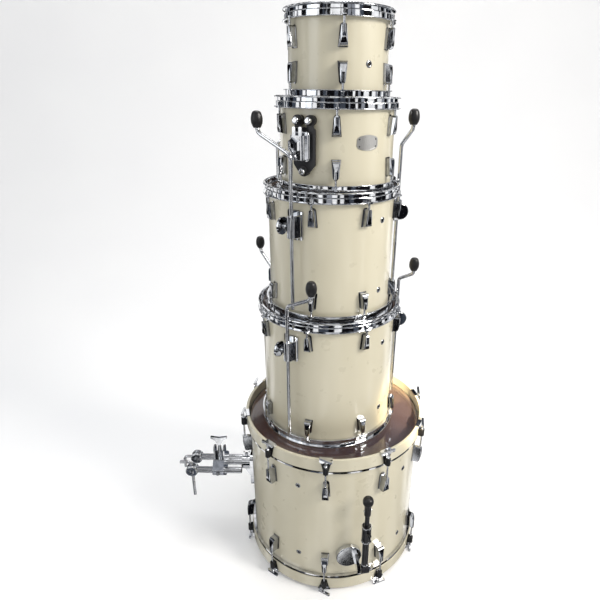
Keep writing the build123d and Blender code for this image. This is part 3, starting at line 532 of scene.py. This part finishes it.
def add_lug_details(d):
    """Black gaskets behind the lugs, and their screws with washers inside the shell."""
    foot, nut = BASS_LUG if d.name == "bass" else TOM_LUG
    screw_heights = BASS_LUG_SCREWS if d.name == "bass" else TOM_LUG_SCREWS
    inner = d.r - SHELL_WALL[d.name] * MM
    round_end = [radians(a) for a in range(0, 181, 20)]
    gaskets, screws = Shape(), Shape()
    for centre, lo, hi in islands(f"{d.name}_lugs"):
        azimuth = azimuth_of(d, centre)
        tall = (hi.z - lo.z) / MM
        up = 1 if centre.z > d.mid else -1
        shoulder = tall / 2 - nut + NUT_LIP
        outline = [(-foot, -tall / 2 - FOOT_LIP), (foot, -tall / 2 - FOOT_LIP)]
        outline += [(nut * cos(a), shoulder + nut * sin(a)) for a in round_end]
        gaskets.pad(d, azimuth, centre.z, [(s, up * z) for s, z in outline][::up])
        for share in screw_heights:
            place = outwards(d, azimuth, inner, centre.z + up * share * tall * MM)
            screws.lathe(LUG_SCREW, place @ Matrix.Rotation(pi, 4, "X"), segments=20)
    gaskets.make(f"{d.name}_lug_gaskets", d.body, "rubber")
    screws.make(f"{d.name}_lug_screws", d.body, "chrome_rod")


def add_tom12_details():
    """Rubber washers on the floating mount, and the badge's screws."""
    d = drums["tom12"]
    washers = Shape()
    for centre, _, _ in islands("tom12_mount_bolts"):
        place = outwards(d, azimuth_of(d, centre), d.r, centre.z)
        for profile in MOUNT_WASHERS:
            washers.lathe(profile, place, segments=32)
    washers.make("tom12_mount_washers", d.body, "rubber")
    lo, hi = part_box("tom12_badge")
    badge = (lo + hi) / 2
    screws = Shape()
    for side in (-1, 1):
        azimuth = azimuth_of(d, badge) + degrees(side * BADGE_SCREW_ALONG * MM / d.r)
        for up in (-1, 1):
            place = outwards(d, azimuth, d.r, badge.z + up * BADGE_SCREW_UP * MM)
            screws.lathe(BADGE_SCREW, place, segments=18)
    screws.make("tom12_badge_screws", d.body, "black_steel")


def add_leg_bracket_pads(d):
    """Black pads under the leg brackets."""
    pads = Shape()
    for centre, lo, hi in islands(f"{d.name}_leg_brackets"):
        if hi.z - lo.z >= BRACKET_HEIGHT * MM:
            pads.pad(d, azimuth_of(d, centre), centre.z, BRACKET_PAD)
    pads.make(f"{d.name}_leg_bracket_pads", d.body, "rubber")


# ---------------------------------------------------------------- spur and holder details
SPUR_TUBE_R, SPUR_COLLAR_R = 10, 14
SPUR_EYE_RING = 33                  # above the tube's lower end
SPUR_COLLAR_RINGS = (61, 5)         # below the tube's upper end
RING = ((-0.6, 0), (0.9, 0), (1.4, 0.8), (1.4, 4), (0.9, 4.8), (-0.6, 4.8))     # past its tube
SPUR_SCREW_OUT, SPUR_SCREW_DOWN = 13.5, 20      # from the axis and the tube's upper end
FOOT_PIN = ((0, -13), (2.2, -13), (2.6, -12), (2.6, 12), (2.2, 13), (0, 13))
FOOT_PIN_UP = 18                    # above the foot's lower end
ARM_PLUG = ((0, -6), (8.8, -6), (8.8, 0.4), (8, 1.6), (0, 1.6))
BALL_CAP = ((0, 0), (9, 0), (9, 2), (5.4, 2.6), (5.4, 5.5), (4.4, 6.6), (0, 6.6))
BALL_CAP_OUT = 14.4                 # from the middle of the ball's housing
BLOCK_SCREW = ((0, -2), (7.5, -2), (7.5, 2), (4.4, 2.6), (4.4, 7), (3.4, 8), (0, 8))
SOCKET_SCREW_IN, SOCKET_SCREW_UP = 17, 22       # from the socket's end and the post's axis


def wing_screw(shape, place, span, shank):
    """Adds a small wing screw along local Z: shank, hub and two rounded wings."""
    hub = [(3, shank - 4), (6, shank - 3), (6, shank + 5), (4, shank + 7), (0, shank + 7)]
    shape.lathe([(0, 0), (3, 0)] + hub, place, segments=24)
    flat = place @ turned(0, 0, shank * MM, QUARTER_TURN, "X")
    wing = (
        (4, -3), (0.36 * span, 1), (0.5 * span, 9), (0.42 * span, 15), (0.26 * span, 12), (5, 5),
    )
    half_thickness, bevel = 2.2, 0.8
    for side in (1, -1):
        outline = [(side * x, y) for x, y in wing][::side]
        shape.prism(outline, -half_thickness, half_thickness, flat, bevel)


def add_spur_details(end):
    """Plated rings and a wing screw on a spur's tube, and the pin through its rubber foot."""
    lo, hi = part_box(f"spur_tube_{end}")
    rod_lo, rod_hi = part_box(f"spur_rod_{end}")
    x, y = (rod_lo.x + rod_hi.x) / 2, (rod_lo.y + rod_hi.y) / 2
    axis = turned(x, y, 0, atan2(y, x), "Z")
    rings = Shape()
    places = [(lo.z + SPUR_EYE_RING * MM, SPUR_TUBE_R)]
    places += [(hi.z - down * MM, SPUR_COLLAR_R) for down in SPUR_COLLAR_RINGS]
    for height, r in places:
        rings.lathe([(r + out, h) for out, h in RING], axis @ Matrix.Translation((0, 0, height)))
    rings.make(f"spur_rings_{end}", f"spur_tube_{end}", "cast_chrome")
    screw = Shape()
    along = turned(SPUR_SCREW_OUT * MM, 0, hi.z - SPUR_SCREW_DOWN * MM, QUARTER_TURN, "Y")
    wing_screw(screw, axis @ along, span=26, shank=6)
    screw.make(f"spur_clamp_screw_{end}", f"spur_tube_{end}", "black_steel")
    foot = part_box(f"spur_foot_{end}")[0]
    pin = Shape()
    across = turned(0, 0, foot.z + FOOT_PIN_UP * MM, QUARTER_TURN, "X")
    pin.lathe(FOOT_PIN, axis @ across, segments=18)
    pin.make(f"spur_foot_pin_{end}", f"spur_leg_{end}", "chrome_rod")


def add_holder_details():
    """Plugs in the arms' ends, caps on the ball housings, and the screws of block and socket."""
    block_lo, block_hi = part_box("holder_block")
    middle = (block_lo.x + block_hi.x) / 2
    block_screws = Shape()
    for name, side in (("a", -1), ("b", 1)):
        lo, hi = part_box(f"holder_arm_{name}")
        y, z = (lo.y + hi.y) / 2, (lo.z + hi.z) / 2
        plug = Shape()
        plug.lathe(ARM_PLUG, turned(hi.x, y, z, QUARTER_TURN, "Y"), segments=28)
        plug.make(f"holder_arm_plug_{name}", f"holder_arm_{name}", "rubber")
        caps = Shape()
        ball_x = lo.x + (hi.z - lo.z) / 2
        for way in (-1, 1):
            face = turned(ball_x, y + way * BALL_CAP_OUT * MM, z, -way * QUARTER_TURN, "X")
            caps.lathe(BALL_CAP, face, segments=28)
        caps.make(f"holder_arm_caps_{name}", f"holder_arm_{name}", "lug_chrome")
        face = turned(middle, side * block_hi.y, z, -side * QUARTER_TURN, "X")
        block_screws.lathe(BLOCK_SCREW, face, segments=24)
    block_screws.make("holder_block_screws", "tom_holder", "lug_chrome")
    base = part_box("holder_base")[0]
    post_lo, post_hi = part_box("holder_post")
    height = (post_lo.z + post_hi.z) / 2 + SOCKET_SCREW_UP * MM
    screw = Shape()
    place = Matrix.Translation((base.x + SOCKET_SCREW_IN * MM, 0, height))
    wing_screw(screw, place, span=24, shank=9)
    screw.make("holder_socket_screw", "bass_drum", "cast_chrome")


# ---------------------------------------------------------------- stage, light and camera
# Places and sizes from here on are in metres.
BLOCK_SCALE = 8.0           # of the bright and dark blocks that metal mirrors
BLOCK_TONES = (
    (0.0, (0.008, 0.008, 0.011)), (0.46, (0.12, 0.14, 0.18)),
    (0.58, (0.60, 0.63, 0.70)), (0.70, (2.1, 2.1, 2.1)),
)
AMBIENT, BACKDROP = (0.94, 0.95, 0.97), (1.6, 1.6, 1.6)
WORLD_STRENGTH = 0.60
LIGHTS = (      # name, place, target, size, power, colour
    ("key", (2.9, -1.5, 3.0), (0, 0, 0.6), (1.2, 1.2), 130, (1.0, 0.96, 0.90)),
    ("fill", (-2.8, -1.8, 2.2), (0, 0, 0.8), (1.4, 2.2), 16, (0.92, 0.96, 1.0)),
    ("top", (0.2, 0.6, 3.6), (0, 0, 1.0), (2.2, 1.0), 40, (1, 1, 1)),
)
GLOW_PLACE, GLOW_TARGET = (0.9, -2.2, 1.7), (0.215, 0.16, 0.47)
CAMERA_PLACE = (-0.015, -1.422, 1.4815)
CAMERA_PITCH, CAMERA_ROLL = radians(23.54), radians(0.98)


def add_stage():
    """Pale floor that curves up behind the object; metal doesn't mirror it."""
    n = Surface("stage_floor")
    mat = n.material(
        Base_Color=n.ramp(n.noise(2, 3), (0.3, STAGE_WHITE[0]), (0.7, STAGE_WHITE[1])),
        Roughness=n.between(n.noise(12, 3), 0.55, 0.7),
        Emission_Color=(1, 1, 1, 1), Emission_Strength=0.10,
    )
    half, front, back, bend, top = 9.0, -3.2, 4.2, 2.5, 7.0
    outline = [(front, 0.0)]
    for a in (radians(step) for step in range(0, 91, 6)):
        outline.append((back - bend + bend * sin(a), bend - bend * cos(a)))
    outline.append((back, top))
    verts = [(x, y, z) for y, z in outline for x in (-half, half)]
    faces = [(2 * i, 2 * i + 1, 2 * i + 3, 2 * i + 2) for i in range(len(outline) - 1)]
    stage = new_object("stage", verts, faces, mat)
    stage.visible_glossy = False


def add_world():
    """Soft pale surround; polished metal mirrors a busier room of dark and bright blocks."""
    world = bpy.data.worlds.new("studio")
    world.use_nodes = True
    bpy.context.scene.world = world
    n = Nodes(world.node_tree, "Generated")
    blocks = n.add("ShaderNodeTexVoronoi", {"Vector": n.place, "Scale": BLOCK_SCALE})
    tone = n.parts(blocks.outputs["Color"])[0]
    room = n.ramp(tone, *BLOCK_TONES, interpolation="CONSTANT")
    ray = n.add("ShaderNodeLightPath").outputs
    light = n.mix(ray["Is Glossy Ray"], AMBIENT, room)
    background = n.tree.nodes["Background"]
    n.set(background, "Color", n.mix(ray["Is Camera Ray"], light, BACKDROP))
    n.set(background, "Strength", WORLD_STRENGTH)


def aim(lamp, place, target):
    """Puts a lamp in the scene, pointed at a target."""
    obj = bpy.data.objects.new(lamp.name, lamp)
    obj.location = place
    direction = Vector(target) - Vector(place)
    obj.rotation_euler = direction.to_track_quat("-Z", "Y").to_euler()
    bpy.context.scene.collection.objects.link(obj)


def add_light(name, place, target, size, power, colour):
    """Soft rectangular lamp."""
    lamp = bpy.data.lights.new(name, "AREA")
    lamp.shape = "RECTANGLE"
    lamp.size, lamp.size_y = size
    lamp.energy = power
    lamp.color = colour
    aim(lamp, place, target)


def add_glow():
    """Narrow warm lamp that reaches the maple inside the bass drum through its top head."""
    lamp = bpy.data.lights.new("glow", "SPOT")
    lamp.energy = 2600
    lamp.color = (1.0, 0.82, 0.52)
    lamp.spot_size = radians(7)
    lamp.spot_blend = 0.9
    lamp.shadow_soft_size = 0.05
    aim(lamp, GLOW_PLACE, GLOW_TARGET)


def add_camera():
    """View from above eye level down on the stack, with a little roll and lens shift."""
    data = bpy.data.cameras.new("camera")
    data.sensor_width = 36
    data.lens = 30.09
    data.shift_x = -0.052
    data.shift_y = 0.0186
    data.clip_start = 0.05
    right = Vector((1, 0, 0))
    up = Vector((0, sin(CAMERA_PITCH), cos(CAMERA_PITCH)))
    back = Vector((0, -cos(CAMERA_PITCH), sin(CAMERA_PITCH)))
    x_axis = right * cos(CAMERA_ROLL) + up * sin(CAMERA_ROLL)
    y_axis = up * cos(CAMERA_ROLL) - right * sin(CAMERA_ROLL)
    turn = Matrix((x_axis, y_axis, back)).transposed().to_4x4()
    obj = bpy.data.objects.new("camera", data)
    obj.matrix_world = Matrix.Translation(CAMERA_PLACE) @ turn
    bpy.context.scene.collection.objects.link(obj)
    bpy.context.scene.camera = obj


# ---------------------------------------------------------------- the scene
dress_nodes()
for drum in drums.values():
    add_vents(drum)
    add_lug_details(drum)
add_tom12_details()
for name in ("tom16", "tom14"):
    add_leg_bracket_pads(drums[name])
for end in ("front", "rear"):
    add_spur_details(end)
add_holder_details()

add_stage()
add_world()
for settings in LIGHTS:
    add_light(*settings)
add_glow()
add_camera()
bpy.context.scene.view_settings.view_transform = "Standard"
